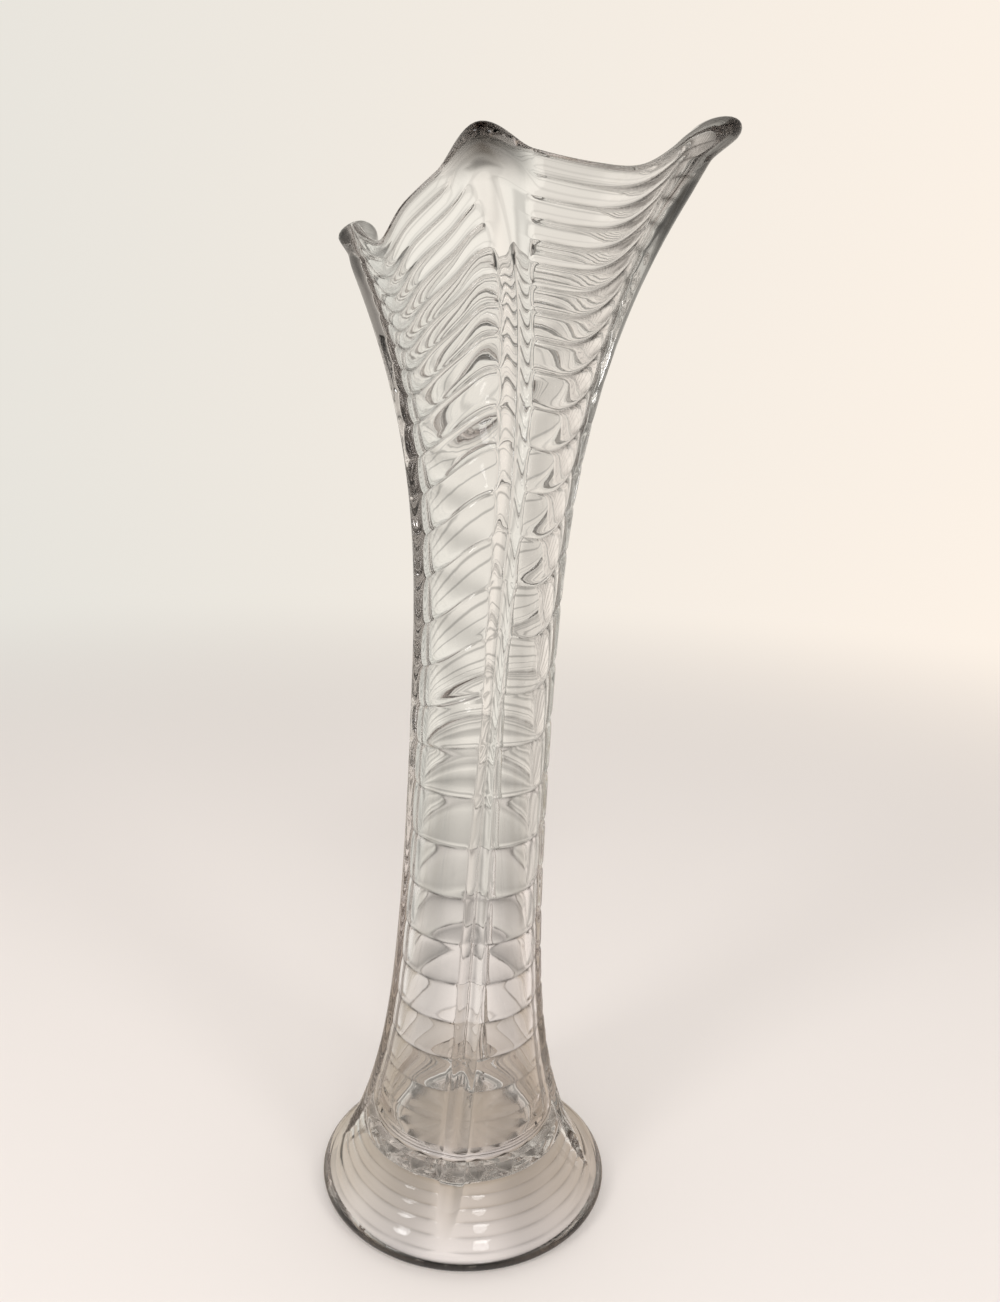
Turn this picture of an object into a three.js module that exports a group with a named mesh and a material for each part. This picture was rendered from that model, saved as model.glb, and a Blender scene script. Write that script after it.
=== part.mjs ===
// Swung glass vase: a round pressed foot, hollow underneath, four half-round pillars and the four
// rippled wall panels between them, drawn out while hot into a slim waist and an uneven
// four-tipped mouth. Millimetres, +Z up. The front faces -Y, and the origin is the middle of the
// bounding box's bottom, level with the ring that the foot stands on.
// Azimuths are degrees round the axis, from the front (-Y) towards the right (+X).
import * as THREE from 'three';

// Foot
const FOOT_RADIUS = 47.5;
const LIP_HEIGHT = 5;
const LIP_WIDTH = 4;
const LIP_GROOVE = 0.6;
const LIP_START_ANGLE = -60;
const UNDERSIDE_BEVEL = 2;
const CAVITY_FLOOR = 20;
const CAVITY_CORNER = 6;

// The hollow under the foot: the glass over it, the ring beside it that the foot stands on,
// how far its side leans in, and the rounding at its top
const FLOOR_THICKNESS = 4;
const STANDING_RING = 4.5;
const HOLLOW_LEAN = 13;
const HOLLOW_CORNER = 3;

// Outline of the wall between the pillars
const WAIST_RADIUS = 19.6;
const FOOT_FLARE_REACH = 31;
const RIM_HEIGHT = 311;
const MOUTH_FLARE = 26;
const MOUTH_FLARE_LENGTH = 142;
const MOUTH_FLARE_POWER = 2.85;
const WALL = 2.5;
const BASE_THICKENING = 2.5;
const BASE_THICKENING_REACH = 25;

// Places along the vase are shares of the rim's height. Each pair below is such a share and
// the size there.

// Pillars: how far they stand out of the wall, their half width, and their twist in degrees
const PILLAR_RISE_LOW = 2.1;
const PILLAR_RISE_RIM = 8;
const PILLAR_RISE_START = 0.32;
const PILLAR_RISE_POWER = 2.5;
const PILLAR_FADE_IN = 10;
const PILLAR_HALF_WIDTH = [
  [0.016, 1.6], [0.06, 4.4], [0.19, 5.4], [0.34, 4.4],
  [0.51, 2.7], [0.72, 4.3], [0.87, 5.6], [1, 8],
];
const PILLAR_TWIST = [
  [0, -8], [0.19, 1], [0.48, 5.5], [0.72, 11.5],
  [0.85, 9], [0.93, 3.5], [1, -6.5],
];
const BACK_PILLAR_TWIST = [[0, -8], [0.19, -12], [0.4, -17], [0.72, -18], [0.88, -12], [1, -6.5]];
const PILLAR_NAMES = ['front', 'right', 'back', 'left'];
const PANEL_NAMES = ['front_right', 'back_right', 'back_left', 'front_left'];

// Ripples: height over the wall, and the distance from crease to crease
const RIPPLE_RISE = 0.9;
const RIPPLE_PITCH = [
  [0.015, 4.6], [0.065, 7], [0.11, 11], [0.19, 13], [0.27, 15], [0.4, 17.5],
  [0.53, 16.5], [0.66, 15], [0.76, 12.5], [0.84, 9.3], [0.92, 6.3], [1, 5.4],
];
const RIPPLE_END_POWER = 6;

// The swing drew the sides unequally. Each pair is an azimuth and its lift, halfway up or at the rim.
const LIFT_START = 0.43;
const LIFT_FULL = 0.66;
const RIM_PULL_START = 0.77;
const MIDDLE_LIFT = [
  [-90, -11.5], [-50, -7.5], [0, 4], [45, 4], [90, 10.5], [135, 5], [180, 0], [225, -8],
];
const RIM_LIFT = [
  [-95, -6.5], [-57, -16], [-36, -8.5], [-20, -2], [-7, 5.5], [8, 2],
  [30, 1], [50, 3.5], [68, 12], [84, 22.5], [100, 18], [120, 6],
  [140, -4], [174, -2], [200, -9], [225, -14], [247, -14],
];
const LIFT_IN_OUTLINE = 0.8;

// How far each tip curls inwards, in the order of the pillars
const TIP_CURL = [0, 0, 0, 5];
const TIP_CURL_REACH = 14;

// The axis bows a little to either side on its way up
const AXIS_BOW = [[0, 0], [0.145, -1.4], [0.48, 0], [0.77, 1.2], [1, 0.3]];

// The seam between neighbouring pieces
const SEAM = 0.3;

// Mesh fineness
const STEPS_PER_RIPPLE = 3;
const PILLAR_STEPS = 6;
const PANEL_STEPS = 8;
const PILLAR_INNER_STEPS = 2;
const PANEL_INNER_STEPS = 5;
const PILLAR_ROWS = 32;
const LIP_STEPS = 6;
const CORNER_STEPS = 3;
const EDGE_ROW_SHARES = [1, 0.6, 0.3, 0.1, 0];
const EDGE_FLAT = 0.3;

const glass = new THREE.MeshStandardMaterial({
  color: 0xe6dfe0, roughness: 0.04, metalness: 0, transparent: true, opacity: 0.45,
});

function clamp01(value) {
  return THREE.MathUtils.clamp(value, 0, 1);
}

// A smooth curve through hand-set points [x, y], which runs on straight past its ends.
function curveThrough(points) {
  const last = points.length - 1;
  const slopes = points.map((point, i) => {
    const before = points[Math.max(i - 1, 0)];
    const after = points[Math.min(i + 1, last)];
    return (after[1] - before[1]) / (after[0] - before[0]);
  });
  return (x) => {
    if (x <= points[0][0]) return points[0][1] + slopes[0] * (x - points[0][0]);
    if (x >= points[last][0]) return points[last][1] + slopes[last] * (x - points[last][0]);
    const i = points.findIndex((point) => point[0] > x) - 1;
    const span = points[i + 1][0] - points[i][0];
    const s = (x - points[i][0]) / span;
    const start = points[i][1] * (1 + 2 * s) * (1 - s) ** 2 + slopes[i] * span * s * (1 - s) ** 2;
    const end = points[i + 1][1] * s * s * (3 - 2 * s) - slopes[i + 1] * span * s * s * (1 - s);
    return start + end;
  };
}

// The same, repeating every full turn.
function curveAround(points) {
  const shifted = (turns) => points.map(([azimuth, value]) => [azimuth + 360 * turns, value]);
  const curve = curveThrough([...shifted(-1), ...points, ...shifted(1)]);
  return (azimuth) => curve(THREE.MathUtils.euclideanModulo(azimuth + 180, 360) - 180);
}

// The same along the vase, whose rim is at 1.
function curveAlong(points) {
  return curveThrough(points.map(([share, value]) => [share * RIM_HEIGHT, value]));
}

const pillarHalfWidth = curveAlong(PILLAR_HALF_WIDTH);
const commonTwist = curveAlong(PILLAR_TWIST);
const pillarTwists = [commonTwist, commonTwist, curveAlong(BACK_PILLAR_TWIST), commonTwist];
const ripplePitch = curveAlong(RIPPLE_PITCH);
const axisBow = curveAlong(AXIS_BOW);
const middleLift = curveAround(MIDDLE_LIFT);
const rimLift = curveAround(RIM_LIFT);

// The groove where the foot's lip meets the cone above it
const grooveHeight = LIP_HEIGHT - LIP_GROOVE;
const grooveRadius = FOOT_RADIUS - LIP_WIDTH;

// Outer radius of the wall, its thickness and the pillars' rise, at a height
function wallRadius(height) {
  const footFlare = (grooveRadius - WAIST_RADIUS) * Math.exp((grooveHeight - height) / FOOT_FLARE_REACH);
  const along = Math.max(0, (height - RIM_HEIGHT) / MOUTH_FLARE_LENGTH + 1);
  return WAIST_RADIUS + footFlare + MOUTH_FLARE * along ** MOUTH_FLARE_POWER;
}

function wallThickness(height) {
  return WALL + BASE_THICKENING * Math.exp((CAVITY_FLOOR - height) / BASE_THICKENING_REACH);
}

function pillarRise(height) {
  const along = clamp01((height / RIM_HEIGHT - PILLAR_RISE_START) / (1 - PILLAR_RISE_START));
  const fadeIn = clamp01((height - grooveHeight) / PILLAR_FADE_IN);
  return PILLAR_RISE_LOW * fadeIn + (PILLAR_RISE_RIM - PILLAR_RISE_LOW) * along ** PILLAR_RISE_POWER;
}

// How far a level line of the mould was lifted at an azimuth. Levels run from 0 to RIM_HEIGHT.
function lift(level, azimuth) {
  const rise = THREE.MathUtils.smoothstep(level / RIM_HEIGHT, LIFT_START, LIFT_FULL);
  const pull = THREE.MathUtils.smoothstep(level / RIM_HEIGHT, RIM_PULL_START, 1);
  return middleLift(azimuth) * rise * (1 - pull) + rimLift(azimuth) * pull;
}

// Levels of the creases between ripples, from the foot's groove up to the rim
function creaseLevels() {
  const levels = [grooveHeight];
  let next = levels[0] + ripplePitch(levels[0]);
  while (next < RIM_HEIGHT - ripplePitch(RIM_HEIGHT) / 2) {
    levels.push(next);
    next += ripplePitch(next);
  }
  levels.push(RIM_HEIGHT);
  return levels;
}

const creases = creaseLevels();
const footTop = creases.find((level) => level > CAVITY_FLOOR + CAVITY_CORNER);

function rippleRise(level, across) {
  const i = creases.findIndex((crease) => crease > level) - 1;
  if (i < 0) return 0;
  const phase = (level - creases[i]) / (creases[i + 1] - creases[i]);
  return RIPPLE_RISE * Math.sin(Math.PI * phase) * Math.sqrt(1 - Math.abs(across) ** RIPPLE_END_POWER);
}

function aroundAxis(azimuth, radius, height) {
  const angle = THREE.MathUtils.degToRad(azimuth);
  return new THREE.Vector3(axisBow(height) + radius * Math.sin(angle), -radius * Math.cos(angle), height);
}

// Azimuth of a pillar's middle, counting pillars from the front and on round the vase
function pillarMiddle(index, level) {
  return 90 * index + pillarTwists[index % pillarTwists.length](level);
}

// A point of the outer or inner skin. The sector is a pillar or the panel that follows it, and
// across runs from -1 to 1 over that sector.
function sectorAzimuth(sector, level, across) {
  const middle = pillarMiddle(sector.index, level);
  const toDegrees = THREE.MathUtils.radToDeg(1 / wallRadius(level));
  const halfWidth = pillarHalfWidth(level);
  if (sector.kind === 'pillar') return middle + across * halfWidth * toDegrees;
  const edge = (halfWidth + SEAM) * toDegrees;
  const nextMiddle = pillarMiddle(sector.index + 1, level);
  return THREE.MathUtils.lerp(middle + edge, nextMiddle - edge, (1 + across) / 2);
}

function skinPoint(sector, level, across, outer) {
  const azimuth = sectorAzimuth(sector, level, across);
  const rise = lift(level, azimuth);
  const outlineHeight = level + LIFT_IN_OUTLINE * rise;
  const thickness = wallThickness(outlineHeight);
  const wall = wallRadius(outlineHeight);
  const isPillar = sector.kind === 'pillar';
  const bulge = isPillar ? Math.cos(across * Math.PI / 2) : 0;
  const relief = isPillar ? pillarRise(outlineHeight) * bulge : rippleRise(level, across);
  const middle = wall + (relief - thickness) / 2;
  const half = (relief + thickness) / 2;
  const toEdge = clamp01((RIM_HEIGHT - level) / half);
  const rounding = Math.max(EDGE_FLAT, Math.sqrt(1 - (1 - toEdge) ** 2));
  const curl = isPillar ? TIP_CURL[sector.index] * bulge : 0;
  const curled = curl * clamp01(1 - (RIM_HEIGHT - level) / TIP_CURL_REACH) ** 2;
  const radius = middle + (outer ? half : -half) * rounding - curled;
  return aroundAxis(azimuth, radius, level + rise);
}

// A closed body through a stack of closed loops, with a flat cap over each end.
function stackedBody(loops, caps) {
  const count = loops[0].length;
  const indices = [];
  for (let row = 0; row + 1 < loops.length; row += 1) {
    for (let i = 0; i < count; i += 1) {
      const a = row * count + i;
      const b = row * count + (i + 1) % count;
      indices.push(a, b, b + count, a, b + count, a + count);
    }
  }
  const top = (loops.length - 1) * count;
  caps.forEach(([a, b, c]) => {
    indices.push(a, c, b);
    indices.push(top + a, top + b, top + c);
  });
  const geometry = new THREE.BufferGeometry().setFromPoints(loops.flat());
  geometry.setIndex(indices);
  geometry.computeVertexNormals();
  return geometry;
}

function spread(steps) {
  return Array.from({ length: steps + 1 }, (_, i) => (2 * i) / steps - 1);
}

// Cap of a wall piece: the curved strip between its outer points and its inner points.
function stripCap(outerSteps, innerSteps) {
  const onArc = (radius, across) => (
    new THREE.Vector2(radius * Math.sin(across), -radius * Math.cos(across)));
  const outline = [
    ...spread(outerSteps).map((across) => onArc(WAIST_RADIUS, across)),
    ...spread(innerSteps).map((across) => onArc(WAIST_RADIUS - WALL, -across)),
  ];
  return THREE.ShapeUtils.triangulateShape(outline, []);
}

function wallPiece(sector, levels, outerSteps, innerSteps) {
  const loops = levels.map((level) => [
    ...spread(outerSteps).map((across) => skinPoint(sector, level, across, true)),
    ...spread(innerSteps).map((across) => skinPoint(sector, level, -across, false)),
  ]);
  return stackedBody(loops, stripCap(outerSteps, innerSteps));
}

// Rows of a wall piece: its own levels up to the rounded rim, then rows that follow the rounding
function rowsToRim(levels, edgeDepth) {
  const body = levels.filter((level) => level < RIM_HEIGHT - edgeDepth - SEAM);
  return [...body, ...EDGE_ROW_SHARES.map((share) => RIM_HEIGHT - share * edgeDepth)];
}

function panelLevels() {
  const levels = [footTop + SEAM];
  for (let i = creases.indexOf(footTop); i + 1 < creases.length; i += 1) {
    for (let step = 1; step <= STEPS_PER_RIPPLE; step += 1) {
      levels.push(THREE.MathUtils.lerp(creases[i], creases[i + 1], step / STEPS_PER_RIPPLE));
    }
  }
  return rowsToRim(levels, (WALL + RIPPLE_RISE) / 2);
}

function pillarLevels() {
  const start = footTop + SEAM;
  const levels = Array.from({ length: PILLAR_ROWS }, (_, i) => (
    THREE.MathUtils.lerp(start, RIM_HEIGHT, i / PILLAR_ROWS)));
  return rowsToRim(levels, (WALL + PILLAR_RISE_RIM) / 2);
}

// The foot: rings of points from the top of the hollow under it, down to the ring it stands on,
// over the lip and up the rippled cone, then down inside the cavity to its floor.
const sectors = PILLAR_NAMES.flatMap((name, index) => [
  { kind: 'pillar', index },
  { kind: 'panel', index },
]);

// Columns of one sector of a ring. A panel leaves its two edges to the pillars beside it.
function columnsOf(sector) {
  return sector.kind === 'pillar' ? spread(PILLAR_STEPS) : spread(PANEL_STEPS).slice(1, -1);
}

function ringOf(level, radiusAt, height) {
  return sectors.flatMap((sector) => columnsOf(sector).map((across) => {
    const azimuth = sectorAzimuth(sector, level, across);
    return aroundAxis(azimuth, radiusAt(sector, across), height);
  }));
}

function plainRing(radius, height) {
  return ringOf(footTop, () => radius, height);
}

function hollowRings() {
  const ceiling = CAVITY_FLOOR - FLOOR_THICKNESS;
  const rimRadius = FOOT_RADIUS - UNDERSIDE_BEVEL - STANDING_RING;
  const slope = Math.atan2(ceiling, HOLLOW_LEAN);
  const cornerStart = rimRadius - HOLLOW_LEAN - HOLLOW_CORNER * Math.tan(slope / 2);
  const rings = [];
  for (let step = 0; step <= CORNER_STEPS; step += 1) {
    const angle = (step / CORNER_STEPS) * slope;
    const radius = cornerStart + HOLLOW_CORNER * Math.sin(angle);
    rings.push(plainRing(radius, ceiling - HOLLOW_CORNER * (1 - Math.cos(angle))));
  }
  rings.push(plainRing(rimRadius, 0));
  return rings;
}

function lipRings() {
  const halfWidth = LIP_WIDTH / 2;
  const halfHeight = LIP_HEIGHT / 2;
  const rings = [plainRing(FOOT_RADIUS - UNDERSIDE_BEVEL, 0)];
  for (let step = 0; step <= LIP_STEPS; step += 1) {
    const angle = THREE.MathUtils.degToRad(THREE.MathUtils.lerp(LIP_START_ANGLE, 90, step / LIP_STEPS));
    const radius = FOOT_RADIUS - halfWidth + halfWidth * Math.cos(angle);
    rings.push(plainRing(radius, halfHeight + halfHeight * Math.sin(angle)));
  }
  return rings;
}

function coneRings() {
  const rings = [plainRing(grooveRadius, grooveHeight)];
  for (let i = 0; creases[i] < footTop; i += 1) {
    for (let step = 1; step <= STEPS_PER_RIPPLE; step += 1) {
      const level = THREE.MathUtils.lerp(creases[i], creases[i + 1], step / STEPS_PER_RIPPLE);
      const relief = (sector, across) => (sector.kind === 'pillar'
        ? pillarRise(level) * Math.cos(across * Math.PI / 2)
        : rippleRise(level, across));
      rings.push(ringOf(level, (sector, across) => wallRadius(level) + relief(sector, across), level));
    }
  }
  return rings;
}

function cavityRings() {
  const innerRadius = wallRadius(footTop) - wallThickness(footTop);
  const rings = [ringOf(footTop, () => innerRadius, footTop)];
  for (let step = 0; step <= CORNER_STEPS; step += 1) {
    const angle = (step / CORNER_STEPS) * Math.PI / 2;
    const radius = innerRadius - CAVITY_CORNER * (1 - Math.cos(angle));
    rings.push(ringOf(footTop, () => radius, CAVITY_FLOOR + CAVITY_CORNER * (1 - Math.sin(angle))));
  }
  return rings;
}

function footBody() {
  const loops = [...hollowRings(), ...lipRings(), ...coneRings(), ...cavityRings()];
  const outline = loops[0].map((point) => new THREE.Vector2(point.x, point.y));
  return stackedBody(loops, THREE.ShapeUtils.triangulateShape(outline, []));
}

function piece(name, geometry) {
  const mesh = new THREE.Mesh(geometry, glass.clone());
  mesh.name = name;
  return mesh;
}

const vase = new THREE.Group();
vase.add(piece('foot', footBody()));
PILLAR_NAMES.forEach((name, index) => {
  const sector = { kind: 'pillar', index };
  vase.add(piece(`pillar_${name}`, wallPiece(sector, pillarLevels(), PILLAR_STEPS, PILLAR_INNER_STEPS)));
});
PANEL_NAMES.forEach((name, index) => {
  const sector = { kind: 'panel', index };
  vase.add(piece(`panel_${name}`, wallPiece(sector, panelLevels(), PANEL_STEPS, PANEL_INNER_STEPS)));
});

// The sizes above are measured from the foot's axis. The vase is placed by its bounding box.
const middle = new THREE.Box3().setFromObject(vase).getCenter(new THREE.Vector3());
vase.position.set(-middle.x, -middle.y, 0);

export default vase;
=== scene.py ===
"""Swung glass vase on a pale table: one unbroken glass skin over the nine CAD nodes."""

import math

import bpy
import numpy as np
from mathutils import Matrix, Vector


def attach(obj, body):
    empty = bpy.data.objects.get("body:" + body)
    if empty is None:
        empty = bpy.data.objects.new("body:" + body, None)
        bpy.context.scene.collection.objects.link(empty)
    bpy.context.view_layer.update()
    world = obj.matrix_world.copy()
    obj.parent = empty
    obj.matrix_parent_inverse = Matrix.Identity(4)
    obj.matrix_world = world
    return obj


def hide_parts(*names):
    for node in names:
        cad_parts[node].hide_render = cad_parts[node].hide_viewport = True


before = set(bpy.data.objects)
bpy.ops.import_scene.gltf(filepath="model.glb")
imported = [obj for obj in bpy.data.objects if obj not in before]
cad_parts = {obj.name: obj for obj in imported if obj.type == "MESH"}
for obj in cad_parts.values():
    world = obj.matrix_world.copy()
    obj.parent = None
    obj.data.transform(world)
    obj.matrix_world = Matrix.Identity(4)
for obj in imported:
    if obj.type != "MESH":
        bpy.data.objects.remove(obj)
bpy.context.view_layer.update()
MM = 0.001

# Sizes of the vase are millimetres and degrees, as in the part's source. A pair along the vase holds a
# share of the rim's height and the value there. Four values in a row follow the pillars: front, right,
# back and left. Azimuths run from the front (-Y) towards the right (+X).

# The foot's axis, from the origin under the middle of the bounding box
AXIS_PLACE = (-7.005, 1.745)

# Foot
FOOT_RADIUS = 47.5
LIP_HEIGHT = 5.0
LIP_WIDTH = 4.0
LIP_GROOVE = 0.6
LIP_ANGLES = (-80, 90)
UNDERSIDE_BEVEL = 2.0
BEVEL_RISE = 0.6
CAVITY_FLOOR = 20.0
CAVITY_CORNER = 6.0

# Hollow under the foot, and the ring beside it that the vase stands on
FLOOR_THICKNESS = 4.0
STANDING_RING = 4.5
HOLLOW_LEAN = 13.0
HOLLOW_CORNER = 3.0
HOLLOW_RIM_RADIUS = FOOT_RADIUS - UNDERSIDE_BEVEL - STANDING_RING
HOLLOW_TOP_RADIUS = HOLLOW_RIM_RADIUS - HOLLOW_LEAN

# Star of pointed rays pressed into the hollow's top. Each pair of its shade holds a radius and how dark
# the painted shade makes the rays there.
STAR_RAYS = 16
STAR_TURN = -11.0
STAR_START = 4.0
STAR_WIDEST = 21.5
STAR_END = 26.5
STAR_HALF_WIDTH = 3.4
STAR_DEPTH = 0.25
STAR_SHADE = [(STAR_START, 0.2), (18, 0.2), (22, 1), (STAR_END, 1)]
STAR_SHADE_EDGE = 4
STAR_FROST = 0.5

# Outline of the wall between the pillars
WAIST_RADIUS = 19.6
FOOT_FLARE_REACH = 31.0
RIM_HEIGHT = 311.0
MOUTH_FLARE = 26.0
MOUTH_FLARE_LENGTH = 142.0
MOUTH_FLARE_POWER = 2.85
WALL = 2.5
BASE_THICKENING = 2.5
BASE_THICKENING_REACH = 25.0

# Pillars: their rise over the wall, half width, spread at the tips, and twist
PILLAR_RISE_LOW = 2.4
PILLAR_RISE_RIM = (3.5, 8.0, 4.0, 6.5)
PILLAR_RISE_START = 0.32
PILLAR_RISE_POWER = 2.5
PILLAR_FADE_IN = 10.0
PILLAR_HALF_WIDTH = [
    (0.016, 1.4), (0.04, 3.6), (0.07, 4), (0.19, 4), (0.33, 3.7), (0.43, 3.2), (0.52, 2.6),
    (0.62, 3.8), (0.72, 4.6), (0.83, 5.6), (0.9, 5.7), (1, 6),
]
PILLAR_SPREAD = [(0.86, 0), (0.9, 0), (0.93, 1.3), (0.97, 4.2), (1, 6)]
PILLAR_SPREAD_SHARE = (1, 0.75, 0.5, 0.4)
PILLAR_BLEND = (0.62, 0.9)
PILLAR_TWIST = [
    (0, -8), (0.19, 1), (0.48, 5.5), (0.72, 11.5),
    (0.85, 9), (0.93, 3.5), (1, -6.5),
]
BACK_PILLAR = 2
BACK_TWIST = [(0, -8), (0.19, -12), (0.4, -17), (0.72, -18), (0.88, -12), (1, -6.5)]

# Ripples, the creases between them, and the notches where the creases cross the pillars
RIPPLE_RISE = [
    (0.015, 0.4), (0.05, 0.4), (0.075, 0.2), (0.14, 0.2), (0.19, 0.35), (0.3, 0.45),
    (0.42, 0.6), (0.6, 0.9), (0.75, 0.95), (0.85, 0.95), (1, 0.7),
]
RIPPLE_PITCH = [
    (0.015, 3.3), (0.065, 3.7), (0.09, 6.5), (0.13, 9.5), (0.2, 12), (0.27, 13.3), (0.32, 15.6),
    (0.4, 16), (0.47, 14.8), (0.54, 15.2), (0.61, 14.5), (0.66, 13.5), (0.705, 12.4), (0.755, 11.3),
    (0.8, 9.8), (0.84, 8), (0.9, 5.8), (0.95, 4.7), (1, 4.3),
]
RIPPLE_JOIN = 0.25
CREASE_SHARE = 0.5
CREASE_POWER = 9
BACK_RIPPLES = 0.6
BACK_RIPPLES_FROM = (0.38, 0.55)
BACK_RIPPLES_SIDE = (0, 0.5)
PILLAR_NOTCH = [(0.08, 0), (0.14, 0.25), (0.3, 0.3), (0.6, 0.3), (0.78, 0.15), (0.86, 0), (1, 0)]
PILLAR_NOTCH_PEAK = 2.5
PILLAR_NOTCH_SHARE = (1, 2.5, 1, 0)

# Unequal pull of the swing. Each pair of a lift holds an azimuth and the lift there.
LIFT_START = 0.43
LIFT_FULL = 0.66
RIM_PULL_START = 0.77
MIDDLE_LIFT = [
    (-90, -11.5), (-50, -7.5), (0, 4), (45, 4), (90, 10.5), (135, 5), (180, 0), (225, -8),
]
RIM_LIFT = [
    (-95, -6.5), (-57, -16), (-36, -8.5), (-20, -2), (-7, 5.5), (8, 2),
    (30, 1), (50, 3.5), (68, 12), (84, 22.5), (100, 18), (120, 6),
    (140, -4), (174, -2), (200, -9), (225, -14), (247, -14),
]
LIFT_IN_OUTLINE = 0.8
TIP_CURL = (0, 0, 0, 6)
TIP_CURL_REACH = 14.0
TIP_STRETCH = 0.3
TIP_BEAD = (4.5, 3.6, 2.5, 3)
TIP_BEAD_REACH = (10.0, 4.0)
AXIS_BOW = [(0, 0), (0.145, -1.4), (0.48, 0), (0.77, 1.2), (1, 0.3)]

# Painted shade that darkens the glass's colour at the drawn tips, the rim, the creases and the lip
TIP_PAINTED_SHADE = (0.99, 1, 0.7, 0.95)
TIP_PAINTED_SHADE_START = (0.972, 0.91, 0.95, 0.94)
TIP_PAINTED_SHADE_FULL = (0.992, 0.965, 1, 0.985)
RIM_PAINTED_SHADE = 0.4
RIM_PAINTED_SHADE_REACH = 2.5
CREASE_PAINTED_SHADE = 1.1
CREASE_LINE = 0.4
CREASE_ALONG = [
    (0.01, 0.45), (0.05, 0.4), (0.075, 0.1), (0.14, 0.4), (0.18, 0.9),
    (0.3, 0.9), (0.45, 0.8), (0.6, 0.5), (1, 0.5),
]
CREASE_STREAKS = (0.13, 0.9)
CREASE_STREAK_LEAST = 0.5
TIP_STREAK_PAINTED_SHADE = 0.95
TIP_STREAK_LINE = 0.9
TIP_STREAK_LEVELS = (0.68, 0.8)
TIP_STREAK_FADE_IN = (20, 65)
TIP_STREAK_FADE_OUT = (84, 98)
LIP_PAINTED_SHADE = 1.0
LIP_PAINTED_SHADE_ANGLES = [(-80, 0), (-55, 0), (-30, 1), (30, 1), (60, 0), (90, 0)]

# Fineness of the skin
PILLAR_COLUMNS = 22
PANEL_COLUMNS = 22
WIDE_PHASES = (0, 0.015, 0.04, 0.08, 0.15, 0.26, 0.42, 0.58, 0.74, 0.85, 0.92, 0.96, 0.985)
NARROW_PHASES = (0, 0.04, 0.12, 0.27, 0.5, 0.73, 0.88, 0.96)
NARROW_PITCH = 7.0
TOP_PHASES = (0, 0.3, 0.6, 0.85)
RIM_LEAST_GAP = 0.05
RIM_ROWS = 14
INNER_ROWS = 56
LIP_ROWS = 14
CORNER_ROWS = 8
STAR_INNER_ROWS = 11
STAR_OUTER_ROWS = 7
HOLLOW_CORNER_ROWS = 6
HOLLOW_ROWS = 8
FAN_SHARES = (0.75, 0.5, 0.25)


def hermite(points, x):
    """Smooth curve through given points, straight past its ends."""
    px = np.array([p[0] for p in points], float)
    py = np.array([p[1] for p in points], float)
    before = np.maximum(np.arange(len(px)) - 1, 0)
    after = np.minimum(np.arange(len(px)) + 1, len(px) - 1)
    slopes = (py[after] - py[before]) / (px[after] - px[before])
    x = np.asarray(x, float)
    i = np.clip(np.searchsorted(px, x, side="right") - 1, 0, len(px) - 2)
    span = px[i + 1] - px[i]
    s = (x - px[i]) / span
    inside = (
        py[i] * (1 + 2 * s) * (1 - s) ** 2
        + slopes[i] * span * s * (1 - s) ** 2
        + py[i + 1] * s * s * (3 - 2 * s)
        - slopes[i + 1] * span * s * s * (1 - s)
    )
    low = py[0] + slopes[0] * (x - px[0])
    high = py[-1] + slopes[-1] * (x - px[-1])
    return np.where(x <= px[0], low, np.where(x >= px[-1], high, inside))


def around(points, azimuth):
    """The same round the axis, repeating every full turn."""
    turned = [(a + 360 * k, v) for k in (-1, 0, 1) for a, v in points]
    return hermite(turned, np.mod(np.asarray(azimuth, float) + 180, 360) - 180)


def along(points, height):
    """The same along the vase, whose rim is at 1."""
    return hermite(points, np.asarray(height, float) / RIM_HEIGHT)


def smoothstep(x, low, high):
    """0 up to the low end of a range, 1 from its high end, and a soft rise between them."""
    t = np.clip((x - low) / (high - low), 0, 1)
    return t * t * (3 - 2 * t)


# The groove where the foot's lip meets the cone above it
GROOVE_HEIGHT = LIP_HEIGHT - LIP_GROOVE
GROOVE_RADIUS = FOOT_RADIUS - LIP_WIDTH


def crease_levels():
    """Levels of the creases between the ripples, from the foot's groove to the rim."""
    levels = [GROOVE_HEIGHT]
    step = float(along(RIPPLE_PITCH, levels[0]))
    last_step = float(along(RIPPLE_PITCH, RIM_HEIGHT))
    while levels[-1] + step < RIM_HEIGHT - last_step / 2:
        levels.append(levels[-1] + step)
        step = float(along(RIPPLE_PITCH, levels[-1]))
    return np.array(levels + [RIM_HEIGHT])


CREASES = crease_levels()
TOP_CREASE = CREASES[-2]
FOOT_TOP = CREASES[CREASES > CAVITY_FLOOR + CAVITY_CORNER][0]

# Columns round the vase: quarter, whether on a pillar, and place across that pillar or panel
COLUMNS = []
for quarter in range(4):
    COLUMNS += [(quarter, True, -1 + 2 * i / PILLAR_COLUMNS) for i in range(PILLAR_COLUMNS + 1)]
    COLUMNS += [(quarter, False, -1 + 2 * i / PANEL_COLUMNS) for i in range(1, PANEL_COLUMNS)]
QUARTER = np.array([c[0] for c in COLUMNS])
ON_PILLAR = np.array([c[1] for c in COLUMNS])
ACROSS = np.array([c[2] for c in COLUMNS])
NONE = np.zeros(len(COLUMNS))
ONE = np.ones(len(COLUMNS))
BULGE = np.where(ON_PILLAR, np.cos(ACROSS * math.pi / 2), 0)
SOFT_BULGE = np.where(ON_PILLAR, (1 + np.cos(ACROSS * math.pi)) / 2, 0)
CURL = np.array(TIP_CURL)[QUARTER] * BULGE
BEAD = np.array(TIP_BEAD)[QUARTER] * BULGE
STAR_AZIMUTHS = STAR_TURN + 360 * (np.arange(len(COLUMNS)) - PILLAR_COLUMNS / 2) / len(COLUMNS)


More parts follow.
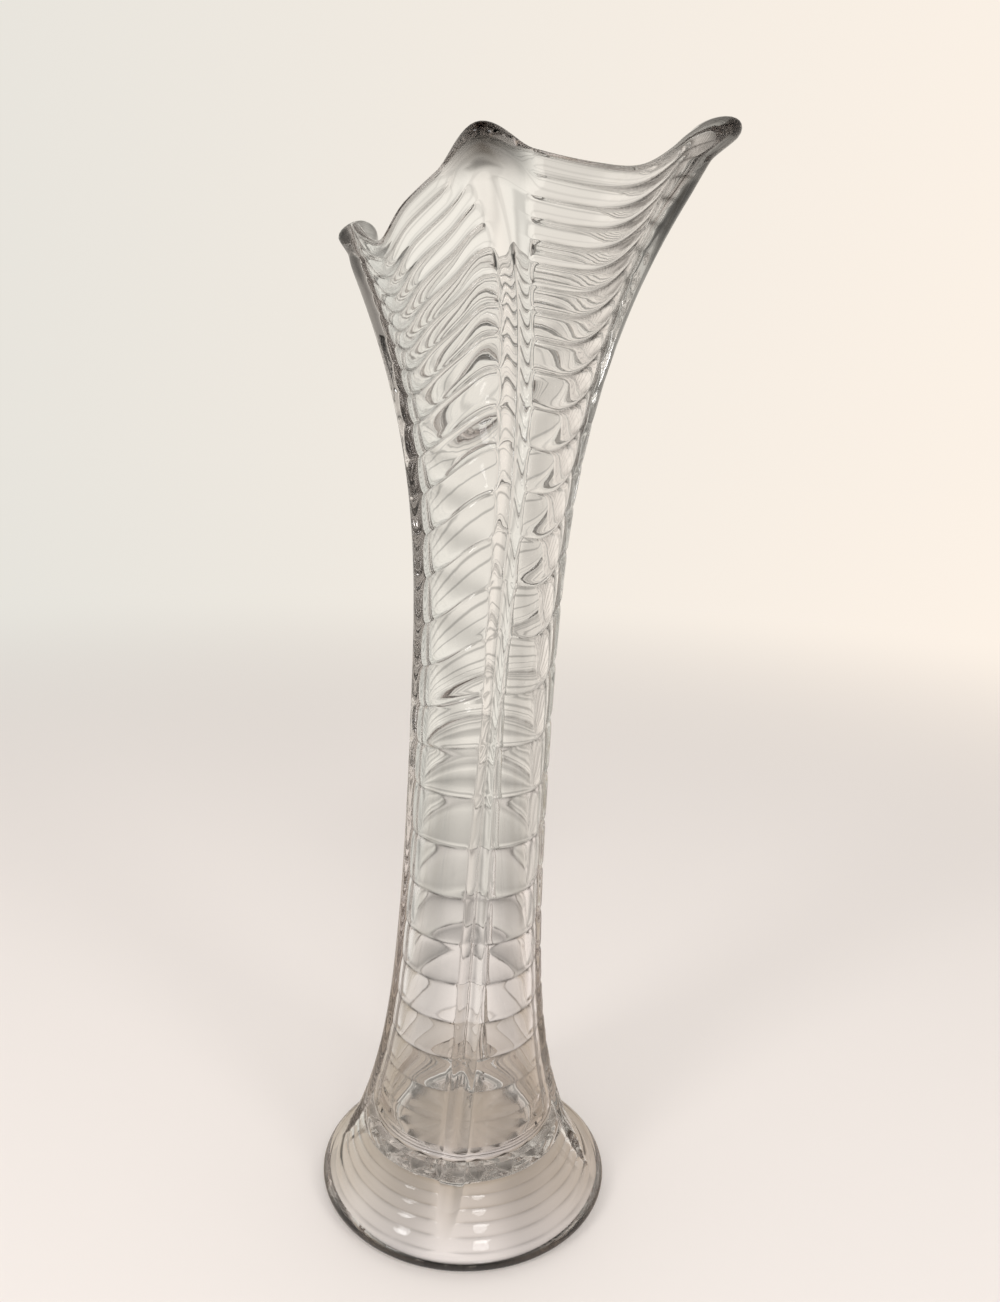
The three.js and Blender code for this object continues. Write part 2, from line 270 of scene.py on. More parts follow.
def wall_radius(height):
    """Outer radius of the wall between the pillars."""
    flare = (GROOVE_RADIUS - WAIST_RADIUS) * np.exp((GROOVE_HEIGHT - height) / FOOT_FLARE_REACH)
    up = np.maximum(0, (height - RIM_HEIGHT) / MOUTH_FLARE_LENGTH + 1)
    return WAIST_RADIUS + flare + MOUTH_FLARE * up ** MOUTH_FLARE_POWER


def wall_thickness(height):
    """Thickness of the wall, which grows towards the foot."""
    return WALL + BASE_THICKENING * np.exp((CAVITY_FLOOR - height) / BASE_THICKENING_REACH)


def pillar_rise(height):
    """How far the pillar of every column stands out of the wall at its middle."""
    up = np.clip((height / RIM_HEIGHT - PILLAR_RISE_START) / (1 - PILLAR_RISE_START), 0, 1)
    fade_in = np.clip((height - GROOVE_HEIGHT) / PILLAR_FADE_IN, 0, 1)
    more_at_rim = np.array(PILLAR_RISE_RIM)[QUARTER] - PILLAR_RISE_LOW
    return PILLAR_RISE_LOW * fade_in + more_at_rim * up ** PILLAR_RISE_POWER


def lift(level, azimuth):
    """How far the swing drew a level up or let it sag."""
    rise = smoothstep(level / RIM_HEIGHT, LIFT_START, LIFT_FULL)
    pull = smoothstep(level / RIM_HEIGHT, RIM_PULL_START, 1)
    return around(MIDDLE_LIFT, azimuth) * rise * (1 - pull) + around(RIM_LIFT, azimuth) * pull


def azimuths(level):
    """Azimuth of every column at a level. The pillars spread out towards their tips."""
    twist, back_twist = along(PILLAR_TWIST, level), along(BACK_TWIST, level)
    middle = 90 * QUARTER + np.where(QUARTER == BACK_PILLAR, back_twist, twist)
    next_middle = 90 * QUARTER + 90 + np.where(QUARTER + 1 == BACK_PILLAR, back_twist, twist)
    half_width, spread = along(PILLAR_HALF_WIDTH, level), along(PILLAR_SPREAD, level)
    share = np.array(PILLAR_SPREAD_SHARE)
    edge = np.degrees((half_width + share[QUARTER] * spread) / wall_radius(level))
    next_edge = np.degrees((half_width + share[(QUARTER + 1) % 4] * spread) / wall_radius(level))
    on_panel = edge + (next_middle - next_edge - middle - edge) * (1 + ACROSS) / 2
    return middle + np.where(ON_PILLAR, ACROSS * edge, on_panel)


def crease_nearness(level):
    """1 at a crease and 0 midway between two, and the distance between those two."""
    i = np.clip(np.searchsorted(CREASES, level, side="right") - 1, 0, len(CREASES) - 2)
    pitch = CREASES[i + 1] - CREASES[i]
    return np.minimum(1, np.abs(2 * (level - CREASES[i]) / pitch - 1)), pitch


def ripple(level, azimuth):
    """Relief of the ripples, which run on under the pillars and are deeper at the back."""
    nearness = crease_nearness(level)[0]
    pillow = 1 - (1 - CREASE_SHARE) * nearness ** 2 - CREASE_SHARE * nearness ** CREASE_POWER
    at_back = smoothstep(-np.cos(np.radians(azimuth)), *BACK_RIPPLES_SIDE)
    at_back = at_back * smoothstep(level / RIM_HEIGHT, *BACK_RIPPLES_FROM)
    return along(RIPPLE_RISE, level) * pillow * (1 + BACK_RIPPLES * at_back)


def pillar_notch(level):
    """Notches where the creases cross the pillars, drawn up to a peak on each pillar's middle."""
    nearness = crease_nearness(level - PILLAR_NOTCH_PEAK * (1 - np.abs(ACROSS)))[0]
    depth = np.array(PILLAR_NOTCH_SHARE)[QUARTER] * np.maximum(0, along(PILLAR_NOTCH, level))
    return depth * nearness ** CREASE_POWER * BULGE


def rounded_max(first, second):
    """The greater of two reliefs, with a soft join where they meet."""
    return (first + second + np.sqrt((first - second) ** 2 + RIPPLE_JOIN ** 2) - RIPPLE_JOIN) / 2


def placed(azimuth, radius, height):
    """Points round the bowed axis."""
    angle = np.radians(azimuth)
    height = np.broadcast_to(height, np.shape(azimuth))
    x = AXIS_PLACE[0] + along(AXIS_BOW, height) + radius * np.sin(angle)
    return np.stack([x, AXIS_PLACE[1] - radius * np.cos(angle), height], axis=-1)


def wall_sizes(level):
    """Azimuth, height, middle radius and half thickness of the wall on every column."""
    azimuth = azimuths(level)
    rise = lift(level, azimuth)
    outline = level + LIFT_IN_OUTLINE * rise
    bulge = BULGE + (SOFT_BULGE - BULGE) * smoothstep(level / RIM_HEIGHT, *PILLAR_BLEND)
    relief = rounded_max(pillar_rise(outline) * bulge, ripple(level, azimuth)) - pillar_notch(level)
    relief += BEAD * smoothstep(level, RIM_HEIGHT - TIP_BEAD_REACH[0], RIM_HEIGHT - TIP_BEAD_REACH[1])
    thickness = wall_thickness(outline)
    radius = wall_radius(outline)
    curled = CURL * np.clip(1 - (RIM_HEIGHT - level) / TIP_CURL_REACH, 0, 1) ** 2
    return azimuth, level + rise, radius + (relief - thickness) / 2 - curled, (relief + thickness) / 2


def crease_lines(level):
    """Painted shade along the creases of the panels: dark lines, broken into streaks and broader by the right
    tip.
    """
    nearness, pitch = crease_nearness(level)
    from_crease = (1 - nearness) * pitch / 2
    azimuth = azimuths(level)
    wave = np.sin(CREASE_STREAKS[0] * azimuth + CREASE_STREAKS[1] * level) ** 2
    streak = CREASE_STREAK_LEAST + (1 - CREASE_STREAK_LEAST) * wave
    crease = CREASE_PAINTED_SHADE * streak * along(CREASE_ALONG, level) * np.exp(-(from_crease / CREASE_LINE) ** 2)
    by_right_tip = smoothstep(azimuth, *TIP_STREAK_FADE_IN) * (1 - smoothstep(azimuth, *TIP_STREAK_FADE_OUT))
    by_right_tip = by_right_tip * smoothstep(level / RIM_HEIGHT, *TIP_STREAK_LEVELS)
    tip_streak = TIP_STREAK_PAINTED_SHADE * by_right_tip * np.exp(-(from_crease / TIP_STREAK_LINE) ** 2)
    lines = np.maximum(np.where(ON_PILLAR, 0, crease), tip_streak)
    return np.where(level > TOP_CREASE, 0, lines)


def wall_painted_shade(level, outside):
    """Painted shade on every column: at the drawn tips, the rim and, outside, the creases."""
    start, full = np.array(TIP_PAINTED_SHADE_START)[QUARTER], np.array(TIP_PAINTED_SHADE_FULL)[QUARTER]
    tip = np.array(TIP_PAINTED_SHADE)[QUARTER] * smoothstep(level / RIM_HEIGHT, start, full) * BULGE
    rim = RIM_PAINTED_SHADE * smoothstep(level, RIM_HEIGHT - RIM_PAINTED_SHADE_REACH, RIM_HEIGHT)
    depth = np.maximum(tip, rim)
    if outside:
        depth = np.maximum(depth, crease_lines(level))
    return np.minimum(1, depth)


def plain_ring(radius, height):
    """A round ring at the foot, with no relief."""
    return placed(azimuths(FOOT_TOP * ONE), radius, height)


def wall_ring(level, side, outside):
    """A ring of the wall, from its inner face at side -1 to its outer face at side 1, and its painted shade.
    """
    azimuth, height, middle, half = wall_sizes(level)
    return placed(azimuth, middle + side * half, height), wall_painted_shade(level, outside)


def star_rays(radius):
    """Cut and painted shade of the star's pointed rays at a radius, on every column."""
    turn = 360 / STAR_RAYS
    aside = np.radians(np.abs(np.mod(STAR_AZIMUTHS - STAR_TURN + turn / 2, turn) - turn / 2)) * radius
    half_width = np.interp(radius, (STAR_START, STAR_WIDEST, STAR_END), (0, STAR_HALF_WIDTH, 0))
    rise = np.maximum(0, half_width - aside) / STAR_HALF_WIDTH
    shade = float(hermite(STAR_SHADE, radius))
    return STAR_DEPTH * rise, shade * np.minimum(1, STAR_SHADE_EDGE * rise)


def hollow_rings():
    """Rings of the hollow under the foot, from the star at its top out to the standing ring."""
    ceiling = CAVITY_FLOOR - FLOOR_THICKNESS
    rings = []
    inner_rows = np.linspace(STAR_START, STAR_WIDEST, STAR_INNER_ROWS)
    outer_rows = np.linspace(STAR_WIDEST, STAR_END, STAR_OUTER_ROWS)
    for radius in [*inner_rows, *outer_rows[1:]]:
        cut, shade = star_rays(radius)
        rings.append((placed(STAR_AZIMUTHS, radius, ceiling + cut), shade))
    slope = math.atan2(ceiling, HOLLOW_LEAN)
    setback = HOLLOW_CORNER * math.tan(slope / 2)
    for angle in np.linspace(0, slope, HOLLOW_CORNER_ROWS):
        radius = HOLLOW_TOP_RADIUS - setback + HOLLOW_CORNER * math.sin(angle)
        top_height = ceiling - HOLLOW_CORNER * (1 - math.cos(angle))
        rings.append((placed(STAR_AZIMUTHS, radius, top_height), NONE))
    top_radius = radius
    wall_azimuths = azimuths(FOOT_TOP * ONE)
    for share in np.linspace(0, 1, HOLLOW_ROWS + 1)[1:]:
        azimuth = STAR_AZIMUTHS + share * (wall_azimuths - STAR_AZIMUTHS)
        radius = top_radius + share * (HOLLOW_RIM_RADIUS - top_radius)
        rings.append((placed(azimuth, radius, top_height * (1 - share)), NONE))
    return rings


def lip_rings():
    """Rings from the outer edge of the standing ring round the bead of the lip."""
    rings = [(plain_ring(FOOT_RADIUS - UNDERSIDE_BEVEL, 0), NONE)]
    half_height = (LIP_HEIGHT - BEVEL_RISE) / 2
    for angle in np.radians(np.linspace(*LIP_ANGLES, LIP_ROWS)):
        radius = FOOT_RADIUS - LIP_WIDTH / 2 * (1 - math.cos(angle))
        height = BEVEL_RISE + half_height * (1 + math.sin(angle))
        # Painted shade round the outer side of the lip's bead
        depth = LIP_PAINTED_SHADE * float(np.clip(hermite(LIP_PAINTED_SHADE_ANGLES, math.degrees(angle)), 0, 1))
        rings.append((plain_ring(radius, height), NONE + depth))
    return rings


def outer_rings():
    """Rings up the outside of the wall to its last crease, closest together at the creases."""
    rings = []
    for low, high in zip(CREASES[:-2], CREASES[1:-1]):
        phases = WIDE_PHASES if high - low > NARROW_PITCH else NARROW_PHASES
        rings += [wall_ring((low + phase * (high - low)) * ONE, 1, True) for phase in phases]
    return rings


def rim_and_inner_rings():
    """Rings from the last crease over the rounded rim and down the inside of the wall."""
    half_at_rim = wall_sizes(RIM_HEIGHT * ONE)[3] * (1 + TIP_STRETCH * BULGE)
    start = np.maximum(TOP_CREASE + RIM_LEAST_GAP, RIM_HEIGHT - half_at_rim)
    rings = [wall_ring(TOP_CREASE + phase * (start - TOP_CREASE), 1, True) for phase in TOP_PHASES]
    for angle in np.linspace(0, math.pi, RIM_ROWS + 1):
        level = start + (RIM_HEIGHT - start) * math.sin(angle)
        rings.append(wall_ring(level, math.cos(angle), True))
    for share in np.linspace(0, 1, INNER_ROWS + 1)[1:]:
        rings.append(wall_ring(start + share * (FOOT_TOP - start), -1, False))
    return rings


def cavity_rings():
    """Rings round the corner at the bottom of the cavity."""
    inner = wall_radius(FOOT_TOP) - wall_thickness(FOOT_TOP)
    rings = []
    for angle in np.linspace(0, math.pi / 2, CORNER_ROWS):
        radius = inner - CAVITY_CORNER * (1 - math.cos(angle))
        height = CAVITY_FLOOR + CAVITY_CORNER * (1 - math.sin(angle))
        rings.append((plain_ring(radius, height), NONE))
    return rings


def closed_mesh(name, rings):
    """One closed body through the rings, with a fan of rings to the middle at both ends."""
    def towards_middle(ring):
        points, depth = ring
        middle = points.mean(axis=0)
        return [(middle + (points - middle) * share, depth) for share in FAN_SHARES], middle

    first, first_middle = towards_middle(rings[0])
    last, last_middle = towards_middle(rings[-1])
    rings = first[::-1] + rings + last
    count = len(COLUMNS)
    points = np.concatenate([ring[0] for ring in rings] + [first_middle[None], last_middle[None]]) * MM
    painted_shades = np.concatenate([ring[1] for ring in rings] + [np.zeros(2)])
    following = [(i + 1) % count for i in range(count)]
    faces = []
    for low in range(0, (len(rings) - 1) * count, count):
        high = low + count
        faces += [(low + i, low + j, high + j, high + i) for i, j in enumerate(following)]
    top = (len(rings) - 1) * count
    under = len(rings) * count
    faces += [(under, j, i) for i, j in enumerate(following)]
    faces += [(under + 1, top + i, top + j) for i, j in enumerate(following)]
    mesh = bpy.data.meshes.new(name)
    mesh.from_pydata(points.tolist(), [], faces)
    mesh.validate()
    # Each point's painted shade goes on the skin; on the star it also sets the frost
    mesh.attributes.new("painted_shade", "FLOAT", "POINT").data.foreach_set("value", painted_shades)
    star_points = count * (len(FAN_SHARES) + STAR_INNER_ROWS + STAR_OUTER_ROWS - 1)
    frost = np.where(np.arange(len(painted_shades)) < star_points, painted_shades, 0)
    mesh.attributes.new("star_frost", "FLOAT", "POINT").data.foreach_set("value", frost)
    star_faces = star_points - count
    mesh.polygons.foreach_set("use_smooth", [i >= star_faces for i in range(len(mesh.polygons))])
    mesh.update()
    piece = bpy.data.objects.new(name, mesh)
    bpy.context.scene.collection.objects.link(piece)
    return piece


def node(tree, kind, **values):
    """A shader node with the given inputs and settings."""
    made = tree.nodes.new(kind)
    for key, value in values.items():
        if key in made.inputs:
            made.inputs[key].default_value = value
        else:
            setattr(made, key, value)
    return made


def colour_mix(tree, factor, a, b):
    """The colour a where the factor is 0 and b where it is 1. Each is a colour or a socket."""
    mix = node(tree, "ShaderNodeMix", data_type="RGBA")
    tree.links.new(factor, mix.inputs["Factor"])
    for name, value in (("A", a), ("B", b)):
        socket = [i for i in mix.inputs if i.name == name and i.type == "RGBA"][0]
        if isinstance(value, tuple):
            socket.default_value = value
        else:
            tree.links.new(value, socket)
    return [o for o in mix.outputs if o.type == "RGBA"][0]


def math_node(tree, operation, *terms):
    """The result of a sum on numbers or sockets."""
    made = node(tree, "ShaderNodeMath", operation=operation)
    for socket, value in zip(made.inputs, terms):
        if isinstance(value, (int, float)):
            socket.default_value = value
        else:
            tree.links.new(value, socket)
    return made.outputs[0]


def value_range(tree, value, low, high, most=1.0, easing="LINEAR"):
    """0 at the low end of a range of values, rising to the most at its high end."""
    made = node(tree, "ShaderNodeMapRange", interpolation_type=easing,
                **{"From Min": low, "From Max": high, "To Max": most})
    tree.links.new(value, made.inputs["Value"])
    return made.outputs["Result"]


def split(tree, vector):
    """The X, Y and Z of a vector."""
    made = node(tree, "ShaderNodeSeparateXYZ")
    tree.links.new(vector, made.inputs[0])
    return made.outputs


# Glass: clear, darkened by the painted shade on its skin, with faint cords drawn out along the vase
CLEAR_GLASS = (0.998, 0.996, 0.994, 1)
# Near-black colour of the painted shade in the glass
PAINTED_SHADE_COLOUR = (0.02, 0.015, 0.011, 1)
GLASS_IOR = 1.52
CORD_SCALE = 150.0
CORD_DETAIL = 2.0
CORD_DRAWN = (1, 1, 0.35)
CORD_BUMP = 0.1
CORD_HEIGHT = 0.0003
DULL_FROM = 0.45
DULL_FULL = 0.75
DULL_ROUGHNESS = 0.01
ABSORBED_COLOUR = (0.5, 0.43, 0.4, 1)
ABSORPTION = 10.0


def glass_material():
    """Clear glass whose painted shade and frost come from the skin."""
    material = bpy.data.materials.new("clear_glass")
    material.use_nodes = True
    tree = material.node_tree
    shader = tree.nodes["Principled BSDF"]
    shader.inputs["Transmission Weight"].default_value = 1.0
    shader.inputs["IOR"].default_value = GLASS_IOR
    # The painted shade on the skin mixes the near-black colour into the glass's colour
    depth = node(tree, "ShaderNodeAttribute", attribute_name="painted_shade")
    colour = colour_mix(tree, depth.outputs["Fac"], CLEAR_GLASS, PAINTED_SHADE_COLOUR)
    tree.links.new(colour, shader.inputs["Base Color"])
    place = node(tree, "ShaderNodeTexCoord")
    drawn = node(tree, "ShaderNodeMapping", **{"Scale": CORD_DRAWN})
    tree.links.new(place.outputs["Object"], drawn.inputs["Vector"])
    cords = node(tree, "ShaderNodeTexNoise", **{"Scale": CORD_SCALE, "Detail": CORD_DETAIL})
    tree.links.new(drawn.outputs["Vector"], cords.inputs["Vector"])
    bump = node(tree, "ShaderNodeBump", **{"Strength": CORD_BUMP, "Distance": CORD_HEIGHT})
    tree.links.new(cords.outputs["Fac"], bump.inputs["Height"])
    tree.links.new(bump.outputs["Normal"], shader.inputs["Normal"])
    dull = value_range(tree, cords.outputs["Fac"], DULL_FROM, DULL_FULL, DULL_ROUGHNESS)
    star = node(tree, "ShaderNodeAttribute", attribute_name="star_frost")
    frost = math_node(tree, "MULTIPLY", star.outputs["Fac"], STAR_FROST)
    tree.links.new(math_node(tree, "ADD", dull, frost), shader.inputs["Roughness"])
    absorption = node(tree, "ShaderNodeVolumeAbsorption", Color=ABSORBED_COLOUR, Density=ABSORPTION)
    tree.links.new(absorption.outputs[0], tree.nodes["Material Output"].inputs["Volume"])
    return material


skin = hollow_rings() + lip_rings() + outer_rings() + rim_and_inner_rings() + cavity_rings()
vase = closed_mesh("glass_vase", skin)
vase.data.materials.append(glass_material())
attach(vase, "root")
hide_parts("foot", *(f"pillar_{side}" for side in ("front", "right", "back", "left")),
            *(f"panel_{side}" for side in ("front_right", "back_right", "back_left", "front_left")))

# Camera, fitted to the photograph, in front of the foot's axis
CAMERA_DISTANCE = 0.3017
CAMERA_HEIGHT = 0.2440
CAMERA_PITCH = 11.74
CAMERA_YAW = 0.95
CAMERA_ROLL = -2.43
CAMERA_NEAR = 0.01
SENSOR = 36.0
FOCAL_PIXELS = 1000
FRAME_PIXELS = 1302


def add_camera():
    """The camera at the photograph's viewing angle."""
    pitch, yaw, roll = (math.radians(a) for a in (CAMERA_PITCH, CAMERA_YAW, CAMERA_ROLL))
    forward = Vector((math.sin(yaw) * math.cos(pitch), math.cos(yaw) * math.cos(pitch), -math.sin(pitch)))
    level_right = Vector((math.cos(yaw), -math.sin(yaw), 0))
    level_up = level_right.cross(forward)
    right = math.cos(roll) * level_right - math.sin(roll) * level_up
    up = math.sin(roll) * level_right + math.cos(roll) * level_up
    data = bpy.data.cameras.new("camera")
    data.sensor_width = SENSOR
    data.lens = SENSOR * FOCAL_PIXELS / FRAME_PIXELS
    data.clip_start = CAMERA_NEAR
    camera = bpy.data.objects.new("camera", data)
    camera.matrix_world = Matrix((
        (right.x, up.x, -forward.x, AXIS_PLACE[0] * MM),
        (right.y, up.y, -forward.y, AXIS_PLACE[1] * MM - CAMERA_DISTANCE),
        (right.z, up.z, -forward.z, CAMERA_HEIGHT),
        (0, 0, 0, 1),
    ))
    bpy.context.scene.collection.objects.link(camera)
    bpy.context.scene.camera = camera


add_camera()

# Surroundings: a pale room that is dark overhead, and a pale table that runs into it
PALE_LEFT = (0.95, 0.93, 0.85, 1)
PALE_RIGHT = (1.0, 0.92, 0.83, 1)
BACKDROP_LEFT = (0.775, 0.76, 0.71, 1)
BACKDROP_RIGHT = (1.0, 0.9, 0.8, 1)
SIDE_REACH = 0.6
SOFT_LIGHT = (0.78, 0.78, 0.78, 1)
OVERHEAD = (0.12, 0.11, 0.1, 1)
OVERHEAD_LEAN = -0.4
OVERHEAD_RANGE = (0.58, 0.95)
UPPER_RANGE = (0.0, 0.15)
BAND_MIDDLE = 0.4
BAND_HALF = 0.13
BAND_CORE = BAND_HALF / 3
BAND_SHADE = 0.4
BAND_ASIDE = (0.12, 0.4)

# Shades of the room as the glass shows it, by direction: across it near the table and higher up,
# from the front to the back, and by height
ROOM_SHADES = [
    (-1, 0.6), (-0.75, 0.8), (-0.5, 0.97), (-0.28, 0.97), (-0.13, 0.7), (-0.03, 0.95),
    (0.05, 0.9), (0.14, 0.68), (0.26, 0.8), (0.38, 1), (0.55, 0.97), (0.75, 0.85), (1, 0.65),
]
UPPER_SHADES = [
    (-1, 0.6), (-0.75, 0.82), (-0.5, 0.97), (-0.3, 0.92), (-0.05, 0.97), (0.0, 0.95),
    (0.03, 0.84), (0.1, 0.82), (0.14, 0.95), (0.5, 0.99), (0.75, 0.8), (1, 0.55),
]
DEPTH_SHADES = [(-1, 0.45), (-0.3, 0.5), (0.1, 1), (1, 1)]
HEIGHT_SHADES = [
    (-0.1, 1), (0.02, 1), (0.04, 0.6), (0.06, 1), (0.12, 1), (0.145, 0.75), (0.17, 1),
    (0.24, 1), (0.27, 0.85), (0.3, 1), (0.46, 1), (0.53, 0.4), (1, 0.35),
]

# Table, and the painted shades that the glass shows on it, with a painted shadow under the foot: metres from
# the front to the back, and out from the foot's axis
TABLE_COLOUR = (0.86, 0.79, 0.74, 1)
TABLE_ROUGHNESS = 0.5
TABLE_SIDES = 96
TABLE_RADIUS = 8.0
TABLE_DROP = 0.0003
TABLE_FADE = (0.35, 1.3)
NEAR_REACH = 0.1
# Painted shadow on the table under the foot, as the glass shows it
UNDER_FOOT_PAINTED_SHADOW = (0.56, 0.51, 0.43)
TABLE_SHADES = [
    (-0.4, 0.5), (-0.02, 1), (0, UNDER_FOOT_PAINTED_SHADOW), (0.054, UNDER_FOOT_PAINTED_SHADOW), (0.066, 0.75), (0.075, 0.5),
    (0.09, 1), (0.11, 0.35), (0.13, 1), (0.155, 0.35), (0.18, 1), (0.205, 0.4), (0.235, 1),
    (0.27, 0.35), (0.3, 1), (0.34, 0.35), (0.38, 1), (0.43, 0.45), (0.47, 1), (0.53, 0.5),
    (0.58, 1), (0.68, 1), (0.73, 0.5), (0.79, 1), (0.98, 1), (1.06, 0.5), (1.15, 1),
    (1.6, 1), (1.8, 0.55), (2.0, 1), (8, 1),
]
NEAR_TINTS = [
    (0, (1, 0.96, 1)), (0.12, (1, 0.97, 1)), (0.3, (1, 1, 1)), (0.4, (1, 1, 1)),
]


def sideways(tree, x_socket, left, right):
    """The room's pale colour, cooler on the left and warmer on the right."""
    return colour_mix(tree, value_range(tree, x_socket, -SIDE_REACH, SIDE_REACH), left, right)


def seen_in_glass(tree):
    """1 for a ray that comes through the glass, or off it, straight from the camera."""
    path = node(tree, "ShaderNodeLightPath")
    through = math_node(tree, "MAXIMUM", path.outputs["Is Glossy Ray"], path.outputs["Is Transmission Ray"])
    straight = math_node(tree, "LESS_THAN", path.outputs["Diffuse Depth"], 0.5)
    return math_node(tree, "MULTIPLY", through, straight)


def shades(tree, place_socket, places):
    """Soft shades of the surroundings as the glass shows them, along one direction."""
    ramp = node(tree, "ShaderNodeValToRGB")
    ramp.color_ramp.interpolation = "EASE"
    stops = ramp.color_ramp.elements
    while len(stops) < len(places):
        stops.new(0.5)
    low, high = places[0][0], places[-1][0]
    for stop, (place, shade) in zip(stops, places):
        stop.position = (place - low) / (high - low)
        stop.color = (*shade, 1) if isinstance(shade, tuple) else (shade, shade, shade, 1)
    tree.links.new(value_range(tree, place_socket, low, high), ramp.inputs[0])
    return ramp.outputs["Color"]


def scaled(tree, colour, scale):
    """One colour times another."""
    made = node(tree, "ShaderNodeVectorMath", operation="MULTIPLY")
    tree.links.new(colour, made.inputs[0])
    tree.links.new(scale, made.inputs[1])
    return made.outputs[0]


def room_in_glass(tree, x, y, z):
    """The room as the glass shows it, in the direction of a ray."""
    leaning = math_node(tree, "MULTIPLY_ADD", y, OVERHEAD_LEAN, z)
    overhead = value_range(tree, leaning, *OVERHEAD_RANGE, easing="SMOOTHSTEP")
    seen = colour_mix(tree, overhead, sideways(tree, x, PALE_LEFT, PALE_RIGHT), OVERHEAD)
    above = value_range(tree, z, *UPPER_RANGE, easing="SMOOTHSTEP")
    across = colour_mix(tree, above, shades(tree, x, ROOM_SHADES), shades(tree, x, UPPER_SHADES))
    seen = scaled(tree, seen, across)
    seen = scaled(tree, seen, shades(tree, y, DEPTH_SHADES))
    seen = scaled(tree, seen, shades(tree, z, HEIGHT_SHADES))
    from_band = math_node(tree, "ABSOLUTE", math_node(tree, "SUBTRACT", z, BAND_MIDDLE))
    band = value_range(tree, from_band, BAND_HALF, BAND_CORE, BAND_SHADE, "SMOOTHSTEP")
    aside = value_range(tree, math_node(tree, "ABSOLUTE", x), *BAND_ASIDE, easing="SMOOTHSTEP")
    return colour_mix(tree, math_node(tree, "MULTIPLY", band, aside), seen, OVERHEAD)


def add_world():
    """Soft even light, a pale backdrop for the camera and a shaded room for the glass."""
    world = bpy.data.worlds.new("studio")
    bpy.context.scene.world = world
    world.use_nodes = True
    tree = world.node_tree
    place = node(tree, "ShaderNodeTexCoord")
    x, y, z = split(tree, place.outputs["Generated"])
    path = node(tree, "ShaderNodeLightPath")
    backdrop = sideways(tree, x, BACKDROP_LEFT, BACKDROP_RIGHT)
    shown = colour_mix(tree, path.outputs["Is Camera Ray"], SOFT_LIGHT, backdrop)
    colour = colour_mix(tree, seen_in_glass(tree), shown, room_in_glass(tree, x, y, z))
    tree.links.new(colour, tree.nodes["Background"].inputs["Color"])


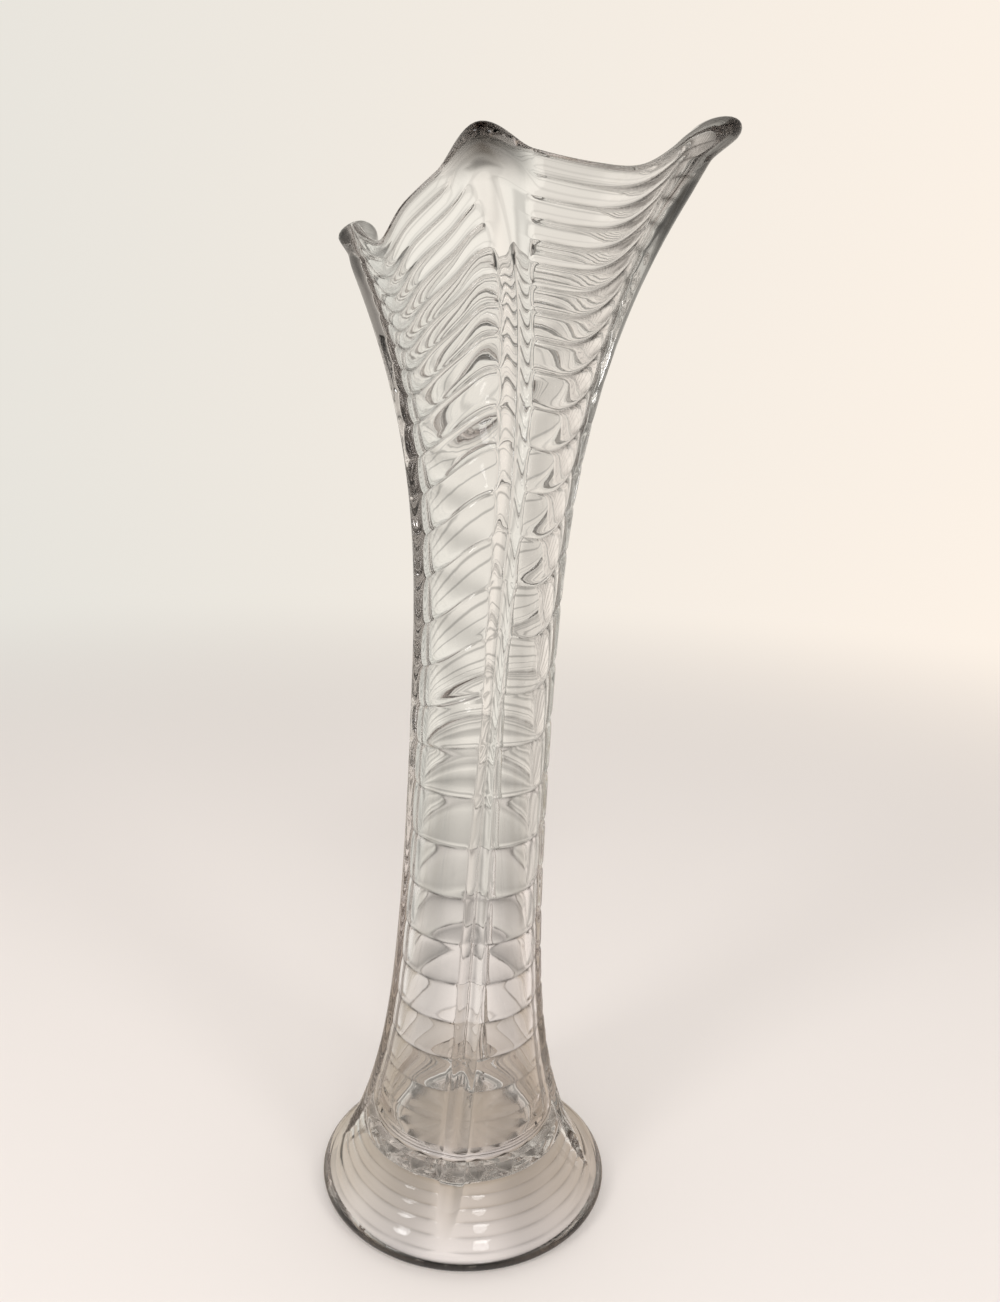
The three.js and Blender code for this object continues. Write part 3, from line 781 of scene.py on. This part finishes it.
def table_material():
    """A pale table that takes the vase's shadow and fades into the backdrop. In the glass it glows by itself
    as painted light, with painted shades and a painted shadow under the foot.
    """
    material = bpy.data.materials.new("pale_table")
    material.use_nodes = True
    tree = material.node_tree
    shader = tree.nodes["Principled BSDF"]
    shader.inputs["Base Color"].default_value = TABLE_COLOUR
    shader.inputs["Roughness"].default_value = TABLE_ROUGHNESS
    place = node(tree, "ShaderNodeTexCoord").outputs["Object"]
    length = node(tree, "ShaderNodeVectorMath", operation="LENGTH")
    tree.links.new(place, length.inputs[0])
    distance = length.outputs["Value"]
    direction = node(tree, "ShaderNodeVectorMath", operation="DIVIDE")
    tree.links.new(place, direction.inputs[0])
    tree.links.new(math_node(tree, "ADD", distance, NEAR_REACH), direction.inputs[1])
    x = split(tree, direction.outputs["Vector"])["X"]
    y = split(tree, place)["Y"]
    # Painted shade bands and a painted shadow under the foot, which only the glass shows
    shade = scaled(tree, shades(tree, x, ROOM_SHADES), shades(tree, y, TABLE_SHADES))
    shade = scaled(tree, shade, shades(tree, distance, NEAR_TINTS))
    shaded = scaled(tree, sideways(tree, x, PALE_LEFT, PALE_RIGHT), shade)
    backdrop = sideways(tree, x, BACKDROP_LEFT, BACKDROP_RIGHT)
    in_glass = seen_in_glass(tree)
    glow = node(tree, "ShaderNodeEmission")
    tree.links.new(colour_mix(tree, in_glass, backdrop, shaded), glow.inputs["Color"])
    far = value_range(tree, distance, *TABLE_FADE, easing="SMOOTHSTEP")
    mix = node(tree, "ShaderNodeMixShader")
    tree.links.new(math_node(tree, "MAXIMUM", far, in_glass), mix.inputs[0])
    tree.links.new(shader.outputs[0], mix.inputs[1])
    tree.links.new(glow.outputs[0], mix.inputs[2])
    tree.links.new(mix.outputs[0], tree.nodes["Material Output"].inputs["Surface"])
    return material


def add_table():
    """The floor under the vase, just below its standing ring."""
    bpy.ops.mesh.primitive_circle_add(vertices=TABLE_SIDES, radius=TABLE_RADIUS, fill_type="NGON")
    table = bpy.context.object
    table.location = (AXIS_PLACE[0] * MM, AXIS_PLACE[1] * MM, -TABLE_DROP)
    table.name = "table"
    table.data.materials.append(table_material())


add_world()
add_table()

# Round soft lamps: place, size, power, and whether the glass shows them
LAMP_TARGET = (0, 0, 0.15)
LAMPS = {
    "key_left": ((-0.62, -0.62, 0.5), 0.26, 2.0, False),
    "key_right": ((0.62, -0.62, 0.5), 0.26, 1.6, False),
    "key_top": ((0.05, -0.7, 0.95), 0.2, 1.8, False),
    "glint_left": ((-0.75, -0.62, 0.5), 0.2, 0.5, True),
    "glint_right": ((0.25, -0.75, 0.62), 0.2, 0.4, True),
}


def add_lamp(name, place, size, power, in_glass):
    """A round soft lamp that lights the table, and that the glass mirrors or not."""
    data = bpy.data.lights.new(name, "AREA")
    data.shape = "DISK"
    data.size = size
    data.energy = power
    lamp = bpy.data.objects.new(name, data)
    lamp.location = place
    aim = Vector(LAMP_TARGET) - Vector(place)
    lamp.rotation_euler = aim.to_track_quat("-Z", "Y").to_euler()
    lamp.visible_glossy = in_glass
    lamp.visible_transmission = in_glass
    bpy.context.scene.collection.objects.link(lamp)


for lamp_name, lamp_values in LAMPS.items():
    add_lamp(lamp_name, *lamp_values)

# Light crosses many faces of glass before it leaves the vase
GLASS_BOUNCES = 32
GLOSSY_BOUNCES = 16

scene = bpy.context.scene
scene.view_settings.view_transform = "Standard"
scene.cycles.max_bounces = GLASS_BOUNCES
scene.cycles.glossy_bounces = GLOSSY_BOUNCES
scene.cycles.transmission_bounces = GLASS_BOUNCES
